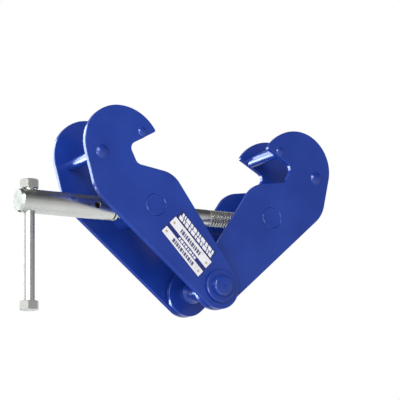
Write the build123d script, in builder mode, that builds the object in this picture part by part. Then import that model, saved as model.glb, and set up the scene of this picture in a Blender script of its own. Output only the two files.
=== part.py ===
"""Adjustable beam clamp for hanging a hoist from the bottom flange of a beam.

Two hook-shaped jaws swing on a waisted suspension bar. A spindle with a
left-hand and a right-hand thread runs through a swivel nut (trunnion) in each
jaw and draws the jaws together over the flange.

Millimetres. The Y axis is the axis of the suspension bar, X runs along the
spindle and Z points up. The origin is the middle of the suspension bar. The
outer jaw, with the T-bar end of the spindle, is on the -X side.
"""
from build123d import *
import math
import os

# ---- driving dimensions -------------------------------------------------
width_over_plates = 69.0   # outer jaw, outside to outside
plate_t = 5.0              # jaw plate thickness
shim_t = 1.5               # shim between an outer plate and the inner one
jaw_gap = 2.0              # room for the shim and its play
run_fit = 0.08             # radial clearance of every turning fit
face_play = 0.3            # side play of every turning piece

# jaw outline, seen along the pivot: u away from the centre plane, v up
eye_r = 21.5               # rounded end about the pivot
shoulder = (128.6, 79.3)   # corner between the straight back and the flank
head_centre = (102.5, 126.0)
head_r = 37.0
brow_angle = 88.0          # where the head's arc runs out above the hook
hook_tip = (65.3, 142.0)
throat_top = (93.6, 126.1)
throat_bottom = (85.6, 109.2)
lip = (46.9, 103.6)        # corner where the lower lip meets the neck
tip_round = 1.8
throat_top_round = 6.3
throat_bottom_round = 7.0
lip_round = 25.0
shoulder_round = 32.0
edge_round = 0.7           # dressed edge of the flame-cut plate
seat_bevel = 0.4           # bevel round the holes that carry the swivel nuts

trunnion_at = (67.0, 72.0)
spacer_at = (122.5, 117.0)
tip_pin_at = (80.0, 140.2)

# suspension bar and its riveted ends
bar_r = 10.5
waist_r = 7.5
waist_half_length = 6.0    # straight part of the waist
collar_y = 15.0            # where the bar reaches its full diameter
pivot_r = 8.0
end_washer_r = 15.5
end_washer_t = 3.0
shim_r = 13.0
bar_head_r = 10.0
bar_head_rim = 4.9
bar_head_dome = 0.6
bar_head_round = 3.0

# spacers and hook tip pins
spacer_tube_r = 5.2
spacer_rod_r = 3.5
spacer_head_r = 6.4
spacer_head_h = 2.8
tip_pin_r = 6.0
tip_pin_end_r = 3.5
tip_head_r = 4.5
tip_head_h = 1.8

# swivel nuts
trunnion_r = 12.5
journal_r = 10.4
journal_bevel = 0.6

# spindle, its hub and its end stop, along X
spindle_r = 8.0
spindle_start = -139.0
spindle_end = 103.0
spindle_bevel = 1.0
hub_r = 11.0
hub_start = -190.3
hub_end = -94.5
hub_nose = 1.2             # bevel at the T-bar end, in from the side
hub_nose_length = 2.6      # and back from the end
hub_heel = 1.4             # bevel at the thrust washer end
hub_pin_x = -115.0
hub_pin_r = 3.0
hub_pin_bore_r = 1.9
hub_pin_half_length = 9.6
hub_pin_slot = 0.9
thrust_washer_t = 2.0
stop_x = 92.0
stop_t = 8.0
stop_r = 11.0
stop_pin_r = 2.0
stop_pin_sunk = 0.4        # each end of the pin stands this far below the collar

# T-bar and its nuts
t_bar_x = -179.0
t_bar_r = 5.0
t_bar_hole_r = 5.3
t_bar_hole_bevel = 0.6
t_bar_length = 118.4
nut_across_flats = 16.0
nut_h = 8.0
nut_turn = 58.0            # how far the nuts are screwed round
nut_bevel_angle = 30.0
nut_rest_gap = 0.4         # between the top nut and the hub it hangs on

# outside corners of the washers, the end stop and the T-bar
turned_bevel = 0.8

# label plate on the front of the outer jaw
label_length = 59.0
label_height = 33.0
label_t = 0.4
label_corner = 1.5
label_angle = 46.7         # slope of the jaw's centre line
label_along = 49.5         # centre of the label along that line
label_across = 3.0         # and off it, towards the neck

# ---- faces worked out from them ------------------------------------------
outer_face_y = width_over_plates / 2
outer_inside_y = outer_face_y - plate_t
inner_face_y = outer_inside_y - jaw_gap
inner_inside_y = inner_face_y - plate_t
spindle_z = trunnion_at[1]
stop_pin_x = stop_x + stop_t / 2
through = 2 * hub_r        # half length of a cut right through the hub or the spindle


def plane_at(y):
    """Sketch plane across Y, with X to the right, Z up and its normal to -Y."""
    return Plane.XZ.offset(-y)


def left(point):
    """A point of the jaw outline, taken to the outer jaw's side."""
    return (-point[0], point[1])


def save(piece, name):
    """Label one finished piece and write it."""
    piece.part.label = name
    export_step(piece.part, f"parts/{name}.step")


# ---- jaw plates -------------------------------------------------------------
def touch_angle(point, centre, radius, turn):
    """Direction, in degrees, from centre to where a line from point touches the arc."""
    du, dv = point[0] - centre[0], point[1] - centre[1]
    away = math.atan2(dv, du)
    return math.degrees(away + turn * math.acos(radius / math.hypot(du, dv)))


def jaw_profile():
    """Face of one jaw plate, on the side of positive u, with its four holes."""
    neck_angle = touch_angle(lip, (0, 0), eye_r, 1)
    back_angle = touch_angle(shoulder, (0, 0), eye_r, -1) + 360
    flank_angle = touch_angle(shoulder, head_centre, head_r, 1)
    with BuildSketch() as profile:
        with BuildLine():
            eye = CenterArc((0, 0), eye_r, neck_angle, back_angle - neck_angle)
            head = CenterArc(head_centre, head_r, flank_angle, brow_angle - flank_angle)
            Polyline(eye @ 1, shoulder, head @ 0)
            TangentArc(head @ 1, hook_tip, tangent=head % 1)
            Polyline(hook_tip, throat_top, throat_bottom, lip, eye @ 0)
        make_face()
        for point, radius in (
            (hook_tip, tip_round),
            (throat_top, throat_top_round),
            (throat_bottom, throat_bottom_round),
            (lip, lip_round),
            (shoulder, shoulder_round),
        ):
            fillet(profile.vertices().sort_by_distance(point)[0], radius)
        for point, radius in (
            ((0, 0), pivot_r + run_fit),
            (trunnion_at, journal_r + run_fit),
            (spacer_at, spacer_rod_r),
            (tip_pin_at, tip_pin_end_r),
        ):
            with Locations(point):
                Circle(radius, mode=Mode.SUBTRACT)
    return profile.sketch


def jaw_plate(name, y_high, on_left):
    """One plate of a jaw: its far face stands at y_high."""
    with BuildPart() as plate:
        with BuildSketch(plane_at(y_high)):
            add(jaw_profile())
            if on_left:
                mirror(about=Plane.YZ, mode=Mode.REPLACE)
        extrude(amount=plate_t)
        rims = [
            edge
            for face in plate.faces().filter_by(Axis.Y)
            for edge in face.outer_wire().edges()
        ]
        fillet(rims, edge_round)
        holes = plate.edges().filter_by(GeomType.CIRCLE)
        seats = holes.filter_by(lambda edge: abs(edge.radius - journal_r - run_fit) < run_fit / 2)
        chamfer(seats, seat_bevel)
    save(plate, name)


# ---- round pieces across the jaws -----------------------------------------
def spacer_tube(name, at, half_length):
    """Tube that keeps the two plates of a jaw apart."""
    with BuildPart() as tube:
        with BuildSketch(plane_at(half_length)):
            with Locations(at):
                Circle(spacer_tube_r)
                Circle(spacer_rod_r, mode=Mode.SUBTRACT)
        extrude(amount=2 * half_length)
    save(tube, name)


def cap_radius(rim, height):
    """Radius of the sphere whose cap has this rim radius and height."""
    return (rim**2 + height**2) / (2 * height)


def riveted_pin(name, at, steps, face_y, head_r, head_h):
    """Pin across a jaw with a domed head on each plate.

    The steps are the corners of one half of its shank, from the middle out.
    """
    top_y = face_y + head_h
    with BuildPart() as pin:
        with BuildSketch():
            with BuildLine():
                Polyline((0, top_y), (0, 0), *steps, (head_r, face_y))
                RadiusArc((0, top_y), (head_r, face_y), cap_radius(head_r, head_h))
            make_face()
        revolve(axis=Axis.Y)
        mirror(about=Plane.XZ)
    pin.part.position = (at[0], 0, at[1])
    save(pin, name)


def spacer_rivet(name, at, face_y):
    """Rod through the spacer tube."""
    steps = ((spacer_rod_r, 0), (spacer_rod_r, face_y))
    riveted_pin(name, at, steps, face_y, spacer_head_r, spacer_head_h)


def tip_pin(name, at, inside_y, face_y):
    """Hardened bar between the hook tips that bears on the beam flange."""
    steps = ((tip_pin_r, 0), (tip_pin_r, inside_y), (tip_pin_end_r, inside_y), (tip_pin_end_r, face_y))
    riveted_pin(name, at, steps, face_y, tip_head_r, tip_head_h)


def trunnion(name, at, inside_y, face_y):
    """Swivel nut: a round bar with turned ends, bored across for the spindle."""
    body_half = inside_y - face_play
    with BuildPart() as nut:
        with BuildSketch(plane_at(body_half)):
            with Locations(at):
                Circle(trunnion_r)
        extrude(amount=2 * body_half)
        with BuildSketch(plane_at(face_y)):
            with Locations(at):
                Circle(journal_r)
        extrude(amount=2 * face_y)
        ends = nut.faces().sort_by(Axis.Y)
        chamfer(ends[0].edges() + ends[-1].edges(), journal_bevel)
        bore = round_at(at[0], spindle_r + run_fit)
        extrude(bore, amount=2 * trunnion_r, both=True, mode=Mode.SUBTRACT)
    save(nut, name)


# ---- suspension bar ----------------------------------------------------------
def suspension_bar():
    """Waisted bar for the hoist hook. Its turned ends carry both jaws."""
    shoulder_y = inner_inside_y - face_play
    head_y = outer_face_y + face_play + end_washer_t
    rim_y = head_y + bar_head_rim
    top_y = rim_y + bar_head_dome
    with BuildPart() as bar:
        with BuildSketch():
            with BuildLine():
                Line((waist_r, 0), (waist_r, waist_half_length))
                TangentArc((waist_r, waist_half_length), (bar_r, collar_y), tangent=(0, 1))
                Polyline(
                    (bar_r, collar_y),
                    (bar_r, shoulder_y),
                    (pivot_r, shoulder_y),
                    (pivot_r, head_y),
                    (bar_head_r, head_y),
                    (bar_head_r, rim_y),
                )
                RadiusArc((0, top_y), (bar_head_r, rim_y), cap_radius(bar_head_r, bar_head_dome))
                Polyline((0, top_y), (0, 0), (waist_r, 0))
            section = make_face()
            rim_corner = section.vertices().sort_by_distance((bar_head_r, rim_y))[0]
            fillet(rim_corner, bar_head_round)
        revolve(axis=Axis.Y)
        mirror(about=Plane.XZ)
    save(bar, "suspension_bar")


def end_washer(name, y_high):
    """Thick washer under a riveted end of the suspension bar."""
    with BuildPart() as washer:
        with BuildSketch(plane_at(y_high)):
            Circle(end_washer_r)
            Circle(pivot_r, mode=Mode.SUBTRACT)
        extrude(amount=end_washer_t)
        chamfer(washer.edges().filter_by(GeomType.CIRCLE).group_by(SortBy.RADIUS)[-1], turned_bevel)
    save(washer, name)


def shim(name, y_high):
    """Thin ring that keeps an outer plate off the inner one."""
    with BuildPart() as ring:
        with BuildSketch(plane_at(y_high)):
            Circle(shim_r)
            Circle(pivot_r, mode=Mode.SUBTRACT)
        extrude(amount=shim_t)
    save(ring, name)


# ---- spindle, hub and end stop ---------------------------------------------
def round_at(x, radius):
    """Disc across the spindle line at x."""
    with BuildSketch(Plane.YZ.offset(x)) as disc:
        with Locations((0, spindle_z)):
            Circle(radius)
    return disc.sketch


def across_at(x, radius, direction):
    """Disc on the spindle line at x that faces along direction."""
    with BuildSketch(Plane((x, 0, spindle_z), z_dir=direction)) as disc:
        Circle(radius)
    return disc.sketch


def spindle():
    """Round bar with a left-hand and a right-hand thread at its nominal size."""
    with BuildPart() as rod:
        extrude(round_at(spindle_start, spindle_r), amount=spindle_end - spindle_start)
        chamfer(rod.edges().filter_by(GeomType.CIRCLE), spindle_bevel)
        hub_pin_hole = across_at(hub_pin_x, hub_pin_r, (0, 1, 0))
        stop_pin_hole = across_at(stop_pin_x, stop_pin_r, (0, 0, 1))
        extrude(hub_pin_hole, amount=through, both=True, mode=Mode.SUBTRACT)
        extrude(stop_pin_hole, amount=through, both=True, mode=Mode.SUBTRACT)
    save(rod, "spindle")


def spindle_hub():
    """Sleeve pinned on the spindle, with a cross hole for the T-bar."""
    with BuildPart() as hub:
        extrude(round_at(hub_start, hub_r), amount=hub_end - hub_start)
        ends = hub.faces().sort_by(Axis.X)
        chamfer(ends[0].edges(), hub_nose, hub_nose_length, reference=ends[0])
        chamfer(ends[-1].edges(), hub_heel)
        bore_depth = hub_end - spindle_start
        extrude(round_at(spindle_start, spindle_r), amount=bore_depth, mode=Mode.SUBTRACT)
        solid_edges = hub.edges()
        t_bar_hole = across_at(t_bar_x, t_bar_hole_r, (0, 0, 1))
        extrude(t_bar_hole, amount=through, both=True, mode=Mode.SUBTRACT)
        chamfer(hub.edges() - solid_edges, t_bar_hole_bevel)
        hub_pin_hole = across_at(hub_pin_x, hub_pin_r, (0, 1, 0))
        extrude(hub_pin_hole, amount=through, both=True, mode=Mode.SUBTRACT)
    save(hub, "spindle_hub")


def hub_pin():
    """Slotted spring pin that fixes the hub to the spindle."""
    with BuildPart() as pin:
        with BuildSketch(plane_at(hub_pin_half_length)):
            with Locations((hub_pin_x, spindle_z)):
                Circle(hub_pin_r)
                Circle(hub_pin_bore_r, mode=Mode.SUBTRACT)
            with Locations((hub_pin_x, spindle_z + hub_pin_r)):
                Rectangle(hub_pin_slot, 2 * hub_pin_r, mode=Mode.SUBTRACT)
        extrude(amount=2 * hub_pin_half_length)
    save(pin, "hub_pin")


def thrust_washer():
    """Loose washer between the hub and the outer swivel nut."""
    start = hub_end + face_play
    with BuildPart() as washer:
        extrude(round_at(start, hub_r), amount=thrust_washer_t)
        bore = round_at(start, spindle_r + run_fit)
        extrude(bore, amount=thrust_washer_t, mode=Mode.SUBTRACT)
    save(washer, "thrust_washer")


def stop_collar():
    """Collar that keeps the inner swivel nut from running off the thread."""
    with BuildPart() as collar:
        extrude(round_at(stop_x, stop_r), amount=stop_t)
        chamfer(collar.edges().filter_by(GeomType.CIRCLE), turned_bevel)
        extrude(round_at(stop_x, spindle_r), amount=stop_t, mode=Mode.SUBTRACT)
        stop_pin_hole = across_at(stop_pin_x, stop_pin_r, (0, 0, 1))
        extrude(stop_pin_hole, amount=through, both=True, mode=Mode.SUBTRACT)
    save(collar, "stop_collar")


def stop_pin():
    """Solid pin through the end stop and the spindle."""
    half_length = stop_r - stop_pin_sunk
    with BuildPart() as pin:
        pin_section = across_at(stop_pin_x, stop_pin_r, (0, 0, 1))
        extrude(pin_section, amount=half_length, both=True)
    save(pin, "stop_pin")


# ---- T-bar ---------------------------------------------------------------------
t_bar_top = spindle_z + hub_r + nut_rest_gap + nut_h
t_bar_bottom = t_bar_top - t_bar_length


def t_bar():
    """Loose tommy bar through the hub. It hangs on its top nut."""
    with BuildPart() as rod:
        with BuildSketch(Plane.XY.offset(t_bar_bottom)):
            with Locations((t_bar_x, 0)):
                Circle(t_bar_r)
        extrude(amount=t_bar_length)
        chamfer(rod.edges().filter_by(GeomType.CIRCLE), turned_bevel)
    save(rod, "t_bar")


def t_bar_nut(name, z_low):
    """Hexagon nut at one end of the T-bar, with bevelled corners."""
    corner_r = nut_across_flats / math.sqrt(3)
    flat_r = nut_across_flats / 2
    drop = (corner_r - flat_r) * math.tan(math.radians(nut_bevel_angle))
    base = Plane((t_bar_x, 0, z_low))
    side = Plane(base.origin, x_dir=(1, 0, 0), z_dir=(0, -1, 0))
    with BuildPart() as nut:
        with BuildSketch(base):
            RegularPolygon(corner_r, 6, rotation=nut_turn)
            Circle(t_bar_r, mode=Mode.SUBTRACT)
        extrude(amount=nut_h)
        with BuildSketch(side):
            with BuildLine():
                Polyline(
                    (0, 0),
                    (flat_r, 0),
                    (corner_r, drop),
                    (corner_r, nut_h - drop),
                    (flat_r, nut_h),
                    (0, nut_h),
                    close=True,
                )
            make_face()
        revolve(axis=Axis(base.origin, (0, 0, 1)), mode=Mode.INTERSECT)
    save(nut, name)


# ---- label plate -----------------------------------------------------------------
def label_plate():
    """Thin rating plate on the front of the outer jaw."""
    slope = math.radians(label_angle)
    u = label_along * math.cos(slope) - label_across * math.sin(slope)
    v = label_along * math.sin(slope) + label_across * math.cos(slope)
    with BuildPart() as label:
        with BuildSketch(plane_at(-outer_face_y)):
            with Locations(left((u, v))):
                RectangleRounded(label_length, label_height, label_corner, rotation=180 - label_angle)
        extrude(amount=label_t)
    save(label, "label_plate")


def main():
    os.makedirs("parts", exist_ok=True)

    suspension_bar()
    end_washer("end_washer_front", -outer_face_y - face_play)
    end_washer("end_washer_back", outer_face_y + face_play + end_washer_t)
    shim("shim_front", (shim_t - inner_face_y - outer_inside_y) / 2)
    shim("shim_back", (shim_t + inner_face_y + outer_inside_y) / 2)

    jaw_plate("outer_plate_front", -outer_inside_y, on_left=True)
    jaw_plate("outer_plate_back", outer_face_y, on_left=True)
    spacer_tube("outer_spacer_tube", left(spacer_at), outer_inside_y)
    spacer_rivet("outer_spacer_rivet", left(spacer_at), outer_face_y)
    tip_pin("outer_tip_pin", left(tip_pin_at), outer_inside_y, outer_face_y)
    trunnion("outer_trunnion", left(trunnion_at), outer_inside_y, outer_face_y)
    label_plate()

    jaw_plate("inner_plate_front", -inner_inside_y, on_left=False)
    jaw_plate("inner_plate_back", inner_face_y, on_left=False)
    spacer_tube("inner_spacer_tube", spacer_at, inner_inside_y)
    spacer_rivet("inner_spacer_rivet", spacer_at, inner_face_y)
    tip_pin("inner_tip_pin", tip_pin_at, inner_inside_y, inner_face_y)
    trunnion("inner_trunnion", trunnion_at, inner_inside_y, inner_face_y)

    spindle()
    spindle_hub()
    hub_pin()
    thrust_washer()
    stop_collar()
    stop_pin()

    t_bar()
    t_bar_nut("t_bar_nut_top", t_bar_top - nut_h)
    t_bar_nut("t_bar_nut_bottom", t_bar_bottom)


main()
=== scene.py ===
"""Looks of the beam clamp: finishes, spindle threads, label print, light and camera.

Metres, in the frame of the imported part: +Y along the suspension bar, +X along
the spindle away from the T-bar, +Z up.
"""

import math

import bpy
import bmesh
from mathutils import Matrix, Vector


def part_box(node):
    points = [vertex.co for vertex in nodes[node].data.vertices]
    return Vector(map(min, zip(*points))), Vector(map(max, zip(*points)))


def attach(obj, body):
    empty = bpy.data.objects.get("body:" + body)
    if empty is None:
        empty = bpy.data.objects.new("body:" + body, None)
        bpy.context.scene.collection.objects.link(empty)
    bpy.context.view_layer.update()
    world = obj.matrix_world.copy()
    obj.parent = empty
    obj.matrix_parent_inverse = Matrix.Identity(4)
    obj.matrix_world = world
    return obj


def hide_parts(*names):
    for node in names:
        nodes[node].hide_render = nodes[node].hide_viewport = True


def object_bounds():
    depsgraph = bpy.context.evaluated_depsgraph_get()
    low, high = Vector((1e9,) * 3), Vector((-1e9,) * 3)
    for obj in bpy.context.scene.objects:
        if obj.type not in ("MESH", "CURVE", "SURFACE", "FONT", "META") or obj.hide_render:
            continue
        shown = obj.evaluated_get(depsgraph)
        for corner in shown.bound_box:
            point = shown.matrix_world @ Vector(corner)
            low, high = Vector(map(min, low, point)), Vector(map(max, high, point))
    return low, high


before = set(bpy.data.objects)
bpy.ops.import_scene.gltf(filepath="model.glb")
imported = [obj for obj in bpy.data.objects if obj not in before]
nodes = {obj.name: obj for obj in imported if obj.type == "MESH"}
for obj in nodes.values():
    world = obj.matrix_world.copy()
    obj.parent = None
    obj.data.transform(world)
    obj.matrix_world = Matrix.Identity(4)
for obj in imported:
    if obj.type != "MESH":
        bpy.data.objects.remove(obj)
cad_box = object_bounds()
scene = bpy.context.scene
MM = 0.001


def centre(name):
    """Middle of a node's box."""
    low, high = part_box(name)
    return (Vector(low) + Vector(high)) / 2


# ---- camera -------------------------------------------------------------------
CAMERA_AT = Vector((-0.7138, -1.1538, -0.1999))
HEADING, PITCH, ROLL = (math.radians(a) for a in (31.82, 12.02, -1.47))
LENS = 128.9


def place_camera():
    """Camera low on the T-bar's side, looking a little up at the clamp."""
    forward = Vector((
        math.sin(HEADING) * math.cos(PITCH),
        math.cos(HEADING) * math.cos(PITCH),
        math.sin(PITCH),
    ))
    level = Vector((math.cos(HEADING), -math.sin(HEADING), 0))
    rise = level.cross(forward)
    right = math.cos(ROLL) * level + math.sin(ROLL) * rise
    up = -math.sin(ROLL) * level + math.cos(ROLL) * rise
    turn = Matrix((right, up, -forward)).transposed().to_4x4()
    data = bpy.data.cameras.new("camera")
    data.lens = LENS
    data.sensor_width = 36
    data.clip_start = 0.05
    data.clip_end = 100
    camera = bpy.data.objects.new("camera", data)
    camera.matrix_world = Matrix.Translation(CAMERA_AT) @ turn
    scene.collection.objects.link(camera)
    scene.camera = camera


# ---- node helpers -----------------------------------------------------------------
class Tree:
    """Builds the nodes of one material or world."""

    def __init__(self, tree):
        self.tree = tree
        tree.nodes.clear()

    def add(self, kind, settings=None, **inputs):
        """A node; inputs are sockets or plain values, named with _ for spaces."""
        node = self.tree.nodes.new(kind)
        for key, value in (settings or {}).items():
            setattr(node, key, value)
        for name, value in inputs.items():
            self.feed(node, name.replace("_", " "), value)
        return node

    def feed(self, node, name, value):
        socket = node.inputs[int(name[1:])] if name[0] == "i" and name[1:].isdigit() else node.inputs[name]
        if isinstance(value, bpy.types.NodeSocket):
            self.tree.links.new(value, socket)
        else:
            socket.default_value = value

    def math(self, operation, a, b=0.0, clamp=False):
        node = self.add("ShaderNodeMath", {"operation": operation, "use_clamp": clamp}, i0=a, i1=b)
        return node.outputs[0]

    def remap(self, value, low, high, to_low=0.0, to_high=1.0, smooth=True):
        kind = "SMOOTHSTEP" if smooth else "LINEAR"
        node = self.add(
            "ShaderNodeMapRange", {"interpolation_type": kind},
            Value=value, From_Min=low, From_Max=high, To_Min=to_low, To_Max=to_high,
        )
        return node.outputs[0]

    def dot(self, a, b):
        node = self.add("ShaderNodeVectorMath", {"operation": "DOT_PRODUCT"}, i0=a, i1=b)
        return node.outputs["Value"]

    def mix(self, factor, a, b):
        """Colour between a and b."""
        node = self.add("ShaderNodeMix", {"data_type": "RGBA"}, i0=factor, i6=a, i7=b)
        return node.outputs[2]

    def blend(self, factor, a, b):
        """Number between a and b."""
        node = self.add("ShaderNodeMix", {"data_type": "FLOAT"}, i0=factor, i2=a, i3=b)
        return node.outputs[0]

    def noise(self, place, scale, detail=2.0, roughness=0.5):
        node = self.add(
            "ShaderNodeTexNoise", None,
            Vector=place, Scale=scale, Detail=detail, Roughness=roughness,
        )
        return node.outputs["Fac"]

    def place(self, stretch=None):
        """Position on the part in metres, stretched along its axes if asked."""
        at = self.add("ShaderNodeTexCoord").outputs["Object"]
        if stretch is None:
            return at
        return self.add("ShaderNodeMapping", {"vector_type": "POINT"}, Vector=at, Scale=stretch).outputs[0]

    def bump(self, height, distance, strength=1.0, normal=None):
        node = self.add("ShaderNodeBump", None, Height=height, Distance=distance, Strength=strength)
        if normal is not None:
            self.feed(node, "Normal", normal)
        return node.outputs[0]

    def edge(self, radius, low, high):
        """Rounded normal, and a mask that is 1 on edges."""
        soft = self.add("ShaderNodeBevel", {"samples": 6}, Radius=radius).outputs[0]
        flat = self.add("ShaderNodeNewGeometry").outputs["Normal"]
        return soft, self.remap(self.dot(soft, flat), high, low)

    def surface(self, **inputs):
        shader = self.add("ShaderNodeBsdfPrincipled", None, **inputs)
        out = self.add("ShaderNodeOutputMaterial")
        self.tree.links.new(shader.outputs[0], out.inputs["Surface"])
        return shader


def material(name):
    """New material and its empty tree."""
    made = bpy.data.materials.new(name)
    made.use_nodes = True
    return made, Tree(made.node_tree)


def rgba(*colour):
    return (*colour, 1.0)


# ---- finishes -----------------------------------------------------------------------
PAINT = rgba(0.0075, 0.030, 0.222)
PAINT_LIGHT = rgba(0.0105, 0.038, 0.258)
# pale blue of thin coat, used on edges and in specks; on the edges it is also a painted highlight
PAINT_THIN_AND_HIGHLIGHT = rgba(0.050, 0.110, 0.480)


def paint():
    """Gloss powder coat: orange peel, faint clouding, thinner and paler on edges, where the paleness is
    also a painted highlight.
    """
    made, t = material("jaw_paint")
    at = t.place()
    cloud = t.remap(t.noise(at, 22, 3), 0.35, 0.65)
    colour = t.mix(cloud, PAINT, PAINT_LIGHT)
    # edge mask: edges made paler for thinner coat and as a painted highlight
    _, edge = t.edge(0.0009, 0.80, 0.99)
    patchy = t.remap(t.noise(at, 260, 2), 0.35, 0.7, 0.35, 1.0)
    colour = t.mix(t.math("MULTIPLY", t.math("MULTIPLY", edge, patchy), 0.55), colour, PAINT_THIN_AND_HIGHLIGHT)
    specks = t.remap(t.noise(at, 900, 2), 0.74, 0.80, 0.0, 0.25)
    colour = t.mix(specks, colour, PAINT_THIN_AND_HIGHLIGHT)
    peel = t.bump(t.noise(at, 620, 2, 0.4), 0.00012, 0.35)
    peel = t.bump(t.noise(at, 95, 2, 0.5), 0.0004, 0.20, peel)
    rough = t.remap(t.noise(at, 40, 4), 0.3, 0.7, 0.17, 0.27)
    t.surface(Base_Color=colour, Roughness=rough, Normal=peel, Specular_IOR_Level=0.5)
    return made


def zinc(name, stretch):
    """Bright zinc plate over fine tool marks; stretch sets which way they run.

    Faces that look towards -X are duller, darker and rougher: on the hub this is its rough sawn end; on
    the T-bar's, the nuts' and the thread's faces on that side the darkness is painted shade.
    """
    made, t = material(name)
    at = t.place()
    marks = t.noise(t.place(stretch), 1.0, 4, 0.6)
    cloud = t.remap(t.noise(at, 35, 3, 0.5), 0.3, 0.7)
    colour = t.mix(cloud, rgba(0.60, 0.605, 0.58), rgba(0.67, 0.665, 0.625))
    colour = t.mix(t.remap(marks, 0.60, 0.76, 0.0, 0.30), colour, rgba(0.40, 0.41, 0.42))
    soft, edge = t.edge(0.0004, 0.80, 0.99)
    colour = t.mix(t.math("MULTIPLY", edge, 0.4), colour, rgba(0.80, 0.80, 0.78))
    flat = t.add("ShaderNodeNewGeometry").outputs["Normal"]
    # mask of faces towards -X: the hub's sawn end, and painted shade on the T-bar, the nuts and the thread
    cut = t.remap(t.add("ShaderNodeSeparateXYZ", None, Vector=flat).outputs["X"], -0.80, -0.97)
    # darker zinc on those faces: the sawn end's own colour on the hub, painted shade everywhere else
    colour = t.mix(cut, colour, rgba(0.34, 0.325, 0.280))
    rough = t.remap(t.noise(at, 130, 4), 0.3, 0.7, 0.25, 0.33)
    rough = t.math("ADD", rough, t.math("MULTIPLY", cut, 0.42))
    normal = t.bump(marks, 0.00005, 0.18, soft)
    t.surface(Base_Color=colour, Roughness=rough, Metallic=1.0, Normal=normal)
    return made


def spring_steel():
    """Dark oiled spring steel."""
    made, t = material("spring_steel")
    at = t.place()
    cloud = t.remap(t.noise(at, 400, 3), 0.3, 0.7)
    colour = t.mix(cloud, rgba(0.014, 0.014, 0.017), rgba(0.04, 0.04, 0.044))
    soft, edge = t.edge(0.0003, 0.85, 0.99)
    colour = t.mix(t.math("MULTIPLY", edge, 0.7), colour, rgba(0.45, 0.45, 0.44))
    grain = t.bump(t.noise(at, 2600, 2), 0.00004, 0.4, soft)
    rough = t.remap(t.noise(at, 700, 2), 0.3, 0.7, 0.30, 0.45)
    t.surface(Base_Color=colour, Roughness=rough, Metallic=0.9, Normal=grain)
    return made


def label_white():
    """White print, a little scuffed."""
    made, t = material("label_white")
    at = t.place()
    stain = t.remap(t.noise(at, 140, 4, 0.6), 0.45, 0.75, 0.0, 0.5)
    colour = t.mix(stain, rgba(0.69, 0.68, 0.71), rgba(0.50, 0.48, 0.48))
    scuff = t.remap(t.noise(at, 1500, 3, 0.6), 0.66, 0.76, 0.0, 0.45)
    colour = t.mix(scuff, colour, rgba(0.20, 0.23, 0.42))
    grain = t.bump(t.noise(at, 1800, 2), 0.00003, 0.3)
    t.surface(Base_Color=colour, Roughness=0.42, Normal=grain)
    return made


def label_ink(name, colour, other):
    """Print ink in two close shades."""
    made, t = material(name)
    at = t.place()
    shade = t.mix(t.remap(t.noise(at, 600, 3), 0.35, 0.65), colour, other)
    grain = t.bump(t.noise(at, 1800, 2), 0.00003, 0.3)
    t.surface(Base_Color=shade, Roughness=0.38, Normal=grain)
    return made


def dress():
    """Gives every CAD node its finish."""
    coat = paint()
    turned = zinc("zinc_turned", (2600, 90, 90))
    drawn = zinc("zinc_drawn", (700, 700, 60))
    faced = zinc("zinc_nut", (500, 500, 1500))
    spring = spring_steel()
    special = {
        "t_bar": drawn,
        "t_bar_nut_top": faced,
        "t_bar_nut_bottom": faced,
        "hub_pin": spring,
        "stop_pin": spring,
        "spindle_hub": turned,
        "stop_collar": turned,
        "thrust_washer": turned,
        "spindle": turned,
    }
    for name, node in nodes.items():
        finish = special.get(name, coat)
        if not node.material_slots:
            node.data.materials.append(finish)
        for slot in node.material_slots:
            slot.material = finish
    return turned


# ---- meshes ---------------------------------------------------------------------------
def new_object(name, verts, faces, finish, body, sharp=35):
    """Smooth-shaded mesh that rides on a body."""
    mesh = bpy.data.meshes.new(name)
    mesh.from_pydata(verts, [], faces)
    work = bmesh.new()
    work.from_mesh(mesh)
    bmesh.ops.recalc_face_normals(work, faces=work.faces)
    work.to_mesh(mesh)
    work.free()
    mesh.polygons.foreach_set("use_smooth", [True] * len(mesh.polygons))
    mesh.set_sharp_from_angle(angle=math.radians(sharp))
    mesh.materials.append(finish)
    made = bpy.data.objects.new(name, mesh)
    scene.collection.objects.link(made)
    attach(made, body)
    return made


# ---- spindle ------------------------------------------------------------------------------
SIDES = 56
PITCH_MM = 3.0
MAJOR = 8.0
MINOR = 6.4
# one turn of the thread: place along it and radius, from the start of the crest
PROFILE = ((0.0, MAJOR), (1.05, MAJOR), (1.5, MINOR), (2.55, MINOR))
FADE = 3.0                # length over which a groove runs out
BEVEL = 1.0               # at both ends of the spindle
HUB_PIN_R = 3.0
STOP_PIN_R = 2.0
DRILL_LENGTH = 40.0
LEFT_THREAD = (-94.0, -14.0)
RIGHT_THREAD = (5.5, 98.0)


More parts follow.
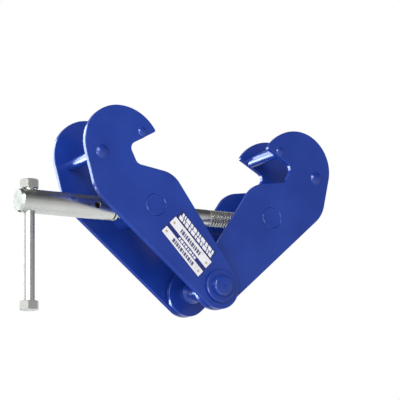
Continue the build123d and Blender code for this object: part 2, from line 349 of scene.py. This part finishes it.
class Rod:
    """Skin of a round bar along X, made of plain rings and threaded lengths."""

    def __init__(self, axis_z):
        self.axis_z = axis_z
        self.verts = []
        self.faces = []
        self.last = None

    def vertex(self, x, turn, radius):
        angle = 2 * math.pi * turn
        y, z = radius * MM * math.sin(angle), radius * MM * math.cos(angle)
        self.verts.append((x * MM, y, self.axis_z + z))
        return len(self.verts) - 1

    def join(self, ring):
        if self.last is not None:
            for j in range(SIDES):
                k = (j + 1) % SIDES
                self.faces.append((self.last[j], ring[j], ring[k], self.last[k]))
        self.last = ring

    def ring(self, x, radius):
        self.join([self.vertex(x, j / SIDES, radius) for j in range(SIDES)])

    def cap(self):
        self.faces.append(tuple(self.last))

    def thread(self, start, end, hand):
        """Helical rows, each on a crest or root edge, so the crests stay crisp."""
        self.ring(start, MAJOR)
        turns = int((end - start) / PITCH_MM) - 1
        per_turn = len(PROFILE)
        rows = turns * per_turn
        grid = []
        for i in range(rows + 1):
            along, radius = PROFILE[i % per_turn]
            base = start + PITCH_MM * (i // per_turn) + along
            row = []
            for j in range(SIDES):
                x = base + PITCH_MM * j / SIDES
                reach = min(x - start - PITCH_MM, end - PITCH_MM - x) / FADE
                depth = (MAJOR - radius) * min(max(reach, 0.0), 1.0)
                row.append(self.vertex(x, hand * j / SIDES, MAJOR - depth))
            grid.append(row)
        order = range(SIDES) if hand > 0 else [(-j) % SIDES for j in range(SIDES)]
        low = [self.last[j] for j in order]
        for j in range(SIDES - 1):
            self.faces.append((low[j], grid[0][j], grid[0][j + 1], low[j + 1]))
        seam = [grid[i][0] for i in range(per_turn, -1, -1)]
        self.faces.append((low[-1], grid[0][-1], *seam, low[0]))
        for i in range(rows):
            for j in range(SIDES - 1):
                self.faces.append((grid[i][j], grid[i + 1][j], grid[i + 1][j + 1], grid[i][j + 1]))
        for i in range(rows - per_turn):
            near, far = grid[i + per_turn][0], grid[i + 1 + per_turn][0]
            self.faces.append((grid[i][-1], grid[i + 1][-1], far, near))
        self.last = None
        self.ring(end, MAJOR)
        high = [self.last[j] for j in order]
        for j in range(SIDES - 1):
            self.faces.append((grid[-1][j], high[j], high[j + 1], grid[-1][j + 1]))
        seam = [grid[i][-1] for i in range(rows - per_turn, rows)]
        self.faces.append((grid[-1][-1], high[-1], high[0], grid[-1][0], *seam))


def cut_hole(piece, at, radius, length, direction):
    """Cuts a round hole through a mesh and leaves no modifier."""
    drill_mesh = bpy.data.meshes.new("drill")
    work = bmesh.new()
    bmesh.ops.create_cone(work, segments=32, radius1=radius, radius2=radius, depth=length, cap_ends=True)
    turn = Vector((0, 0, 1)).rotation_difference(Vector(direction)).to_matrix().to_4x4()
    bmesh.ops.transform(work, matrix=Matrix.Translation(at) @ turn, verts=work.verts)
    work.to_mesh(drill_mesh)
    work.free()
    drill = bpy.data.objects.new("drill", drill_mesh)
    scene.collection.objects.link(drill)
    cut = piece.modifiers.new("cut", "BOOLEAN")
    cut.operation = "DIFFERENCE"
    cut.solver = "EXACT"
    cut.object = drill
    bpy.context.view_layer.update()
    result = bpy.data.meshes.new_from_object(piece.evaluated_get(bpy.context.evaluated_depsgraph_get()))
    piece.modifiers.clear()
    piece.data = result
    bpy.data.objects.remove(drill)
    bpy.data.meshes.remove(drill_mesh)


def threaded_spindle(finish):
    """The spindle with its left-hand and right-hand threads."""
    low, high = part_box("spindle")
    axis_z = centre("spindle").z
    start, end = low[0] / MM, high[0] / MM
    rod = Rod(axis_z)
    rod.ring(start, MAJOR - BEVEL)
    rod.cap()
    rod.ring(start + BEVEL, MAJOR)
    rod.thread(*LEFT_THREAD, hand=-1)
    rod.thread(*RIGHT_THREAD, hand=1)
    rod.ring(end - BEVEL, MAJOR)
    rod.ring(end, MAJOR - BEVEL)
    rod.cap()
    made = new_object("spindle_threaded", rod.verts, rod.faces, finish, "spindle", sharp=28)
    cut_hole(made, centre("hub_pin"), HUB_PIN_R * MM, DRILL_LENGTH * MM, (0, 1, 0))
    cut_hole(made, centre("stop_pin"), STOP_PIN_R * MM, DRILL_LENGTH * MM, (0, 0, 1))
    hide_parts("spindle")


# ---- label ------------------------------------------------------------------------------------
LABEL_SLOPE = math.radians(46.7)
ALONG = Vector((-math.cos(LABEL_SLOPE), 0, math.sin(LABEL_SLOPE)))
ACROSS = Vector((math.sin(LABEL_SLOPE), 0, math.cos(LABEL_SLOPE)))
LABEL_MIDDLE = (49.5, 3.0)      # where the print's own millimetres have the plate's middle
FILM_T = 0.08                   # the film, then the ink on it, then the marks on that
INK_T = 0.05
MARK_T = 0.03
BAR_LIFT = FILM_T + INK_T
MARK_LIFT = BAR_LIFT + INK_T
SPOT = 2.6                      # faded rivet-like spots at the ends of the bars
SPOT_ROUND = 1.2


def rounded_box(a0, a1, c0, c1, radius, slant=0.0):
    """Outline of a block of print, in millimetres along and across."""
    points = []
    corners = ((a1 - radius, c1 - radius, 0), (a0 + radius, c1 - radius, 90),
               (a0 + radius, c0 + radius, 180), (a1 - radius, c0 + radius, 270))
    for a, c, first in corners:
        for step in range(4):
            angle = math.radians(first + step * 30)
            height = c + radius * math.sin(angle)
            points.append((a + radius * math.cos(angle) + slant * (height - c0), height))
    return points


def print_layer(name, outlines, lift, thickness, finish):
    """Thin raised blocks on the front of the outer jaw."""
    low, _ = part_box("outer_plate_front")
    middle = centre("label_plate")
    verts, faces = [], []
    for outline in outlines:
        first = len(verts)
        count = len(outline)
        for depth in (lift, lift + thickness):
            for a, c in outline:
                spot = middle + ((a - LABEL_MIDDLE[0]) * ALONG + (c - LABEL_MIDDLE[1]) * ACROSS) * MM
                verts.append((spot.x, low[1] - depth * MM, spot.z))
        faces.append(tuple(range(first, first + count)))
        faces.append(tuple(range(first + count, first + 2 * count)))
        for i in range(count):
            k = (i + 1) % count
            faces.append((first + i, first + k, first + count + k, first + count + i))
    return new_object(name, verts, faces, finish, "outer_jaw")


def dashes(start, end, low, high, lengths, gap, slant=0.0, radius=0.25):
    """A row of blocks that stands for a line of print."""
    row, at, turn = [], start, 0
    while at + lengths[turn % len(lengths)] <= end:
        length = lengths[turn % len(lengths)]
        row.append(rounded_box(at, at + length, low, high, radius, slant))
        at += length + gap
        turn += 1
    return row


def broken_row(start, end, low, high):
    """A line of heavy print: two staggered courses of slanted bricks."""
    middle = (low + high) / 2
    upper = dashes(start + 0.8, end, middle + 0.25, high, (2.4, 4.6, 3.2, 5.4, 1.8), 1.0, 0.35, 0.6)
    lower = dashes(start, end, low, middle - 0.25, (4.2, 2.2, 5.0, 2.8), 0.9, 0.35, 0.6)
    return upper + lower


def label():
    """Printed label: two white bars, staggered bricks above them and rows of dashes.

    Nothing on it is a letter or a number.
    """
    white = label_white()
    navy = label_ink("label_navy", rgba(0.006, 0.015, 0.11), rgba(0.010, 0.024, 0.16))
    dark = label_ink("label_dark", rgba(0.05, 0.055, 0.13), rgba(0.10, 0.105, 0.18))
    tan = label_ink("label_tan", rgba(0.34, 0.28, 0.22), rgba(0.44, 0.38, 0.30))
    film = label_ink("label_film", rgba(0.0075, 0.030, 0.24), rgba(0.0095, 0.038, 0.275))
    sheet = [rounded_box(20.2, 78.8, -13.3, 19.3, 1.5)]
    plate = print_layer("label_film", sheet, 0.0, FILM_T, film)
    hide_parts("label_plate")
    outline = [rounded_box(21.0, 78.0, -12.8, 10.4, 0.8), rounded_box(24.4, 77.4, 9.8, 19.1, 1.2)]
    print_layer("label_outline", outline, FILM_T, INK_T, navy)
    bars = [rounded_box(21.8, 77.2, 0.0, 9.2, 0.5), rounded_box(21.6, 77.0, -12.0, -4.4, 0.5)]
    bars += dashes(35.5, 64.0, -3.5, -1.2, (2.6, 1.4, 3.4, 2.0), 0.9)
    print_layer("label_bars", bars, BAR_LIFT, INK_T, white)
    print_layer("label_row", broken_row(25.2, 76.0, 10.8, 18.2), BAR_LIFT, 0.06, white)
    lines = dashes(35.0, 64.5, 2.4, 6.4, (1.5, 2.4, 1.9, 1.2, 2.7), 0.8, 0.15)
    lines += dashes(33.0, 66.0, -10.2, -6.5, (2.3, 1.3, 2.8, 1.7), 0.8, 0.15)
    print_layer("label_lines", lines, MARK_LIFT, MARK_T, dark)
    corners = ((24.0, 2.6), (72.6, 2.6), (24.0, -9.4), (72.4, -9.4))
    spots = [rounded_box(a, a + SPOT, c, c + SPOT, SPOT_ROUND) for a, c in corners]
    print_layer("label_spots", spots, MARK_LIFT, MARK_T, tan)


# ---- light and floor ------------------------------------------------------------------------------
def studio():
    """White studio: brightest at the right and underneath, darker overhead and low behind.

    The camera itself sees plain white.
    """
    world = bpy.data.worlds.new("studio")
    world.use_nodes = True
    scene.world = world
    t = Tree(world.node_tree)
    direction = t.add("ShaderNodeTexCoord").outputs["Generated"]
    parts = t.add("ShaderNodeSeparateXYZ", None, Vector=direction).outputs
    height, depth = parts["Z"], parts["Y"]

    def towards(x, y, z):
        aim = Vector((x, y, z)).normalized()
        return t.dot(direction, aim)

    sides = t.remap(towards(0.85, -0.53, 0), 0.35, 0.75, 1.0, 0.42)
    sides = t.math("MULTIPLY", sides, t.remap(height, 0.40, 0.62, 1.0, 0.10))
    low_back = t.math("MULTIPLY", t.remap(depth, 0.0, 0.45), t.remap(height, -0.05, -0.30))
    low_back = t.math("MULTIPLY", low_back, t.remap(parts["X"], 0.36, 0.10))
    sides = t.math("MULTIPLY", sides, t.remap(low_back, 0.0, 1.0, 1.0, 0.10, smooth=False))
    overhead = t.remap(height, 0.34, 0.74, 1.0, 0.30)
    front = t.math("MULTIPLY", t.remap(height, 0.05, 0.28, 0.60, 0.26), overhead)
    front = t.math("ADD", front, t.remap(height, -0.05, -0.80, 0.0, 0.40))
    light = t.blend(t.remap(towards(0.45, -0.87, 0), 0.30, 0.75), sides, front)
    light = t.blend(t.remap(height, -0.70, -0.88), light, 1.05)
    seen = t.add("ShaderNodeLightPath").outputs["Is Camera Ray"]
    level = t.math("MAXIMUM", light, seen)
    colour = t.mix(seen, rgba(0.97, 0.985, 1.0), rgba(1.0, 1.0, 1.0))
    back = t.add("ShaderNodeBackground", None, Color=colour, Strength=level)
    out = t.add("ShaderNodeOutputWorld")
    t.tree.links.new(back.outputs[0], out.inputs["Surface"])


def softbox(name, at, size, radiance, colour=(1, 1, 1), aim=(0, 0, 0.06)):
    """Area light of a given brightness, unseen by the camera."""
    data = bpy.data.lights.new(name, "AREA")
    data.color = colour
    data.shape = "RECTANGLE"
    data.size, data.size_y = size
    data.energy = radiance * math.pi * size[0] * size[1]
    lamp = bpy.data.objects.new(name, data)
    lamp.location = at
    lamp.rotation_euler = (Vector(aim) - Vector(at)).to_track_quat("-Z", "Y").to_euler()
    lamp.visible_camera = False
    scene.collection.objects.link(lamp)


FLOOR_DROP = 1.6          # metres below the clamp, which hangs
FLOOR_REACH = 0.6


def floor():
    """Plain pale floor well below the hanging clamp."""
    level = cad_box[0][2] - FLOOR_DROP
    reach = FLOOR_REACH
    mesh = bpy.data.meshes.new("floor")
    count = 24
    edge = [i / count * 2 - 1 for i in range(count + 1)]
    verts = [(x * reach, y * reach, level) for y in edge for x in edge]
    wide = count + 1
    faces = [
        (r * wide + c, r * wide + c + 1, (r + 1) * wide + c + 1, (r + 1) * wide + c)
        for r in range(count) for c in range(count)
    ]
    mesh.from_pydata(verts, [], faces)
    finish, t = material("floor")
    tone = t.mix(t.noise(t.place(), 0.7, 2), rgba(0.80, 0.80, 0.80), rgba(0.84, 0.84, 0.84))
    t.surface(Base_Color=tone, Roughness=0.8)
    mesh.materials.append(finish)
    made = bpy.data.objects.new("floor", mesh)
    scene.collection.objects.link(made)


def lights():
    """Soft boxes from behind, from the left and from the front left."""
    softbox("left_back", (-0.92, 1.73, 0.34), (1.2, 1.75), 7.5, (0.74, 0.88, 1.0))
    softbox("low_back", (-1.03, 1.83, -0.50), (1.0, 0.7), 14.0, (0.72, 0.90, 1.0))
    softbox("left", (-2.05, -0.25, 0.50), (1.5, 0.9), 1.15, (0.97, 0.99, 1.0))
    softbox("key", (-1.43, -1.84, 1.05), (0.9, 1.4), 11.0)
    softbox("left_low", (-1.60, -1.00, -0.55), (1.2, 0.8), 5.0, (0.92, 0.97, 1.0))
    scene.view_settings.view_transform = "Standard"


place_camera()
turned = dress()
threaded_spindle(turned)
label()
studio()
floor()
lights()
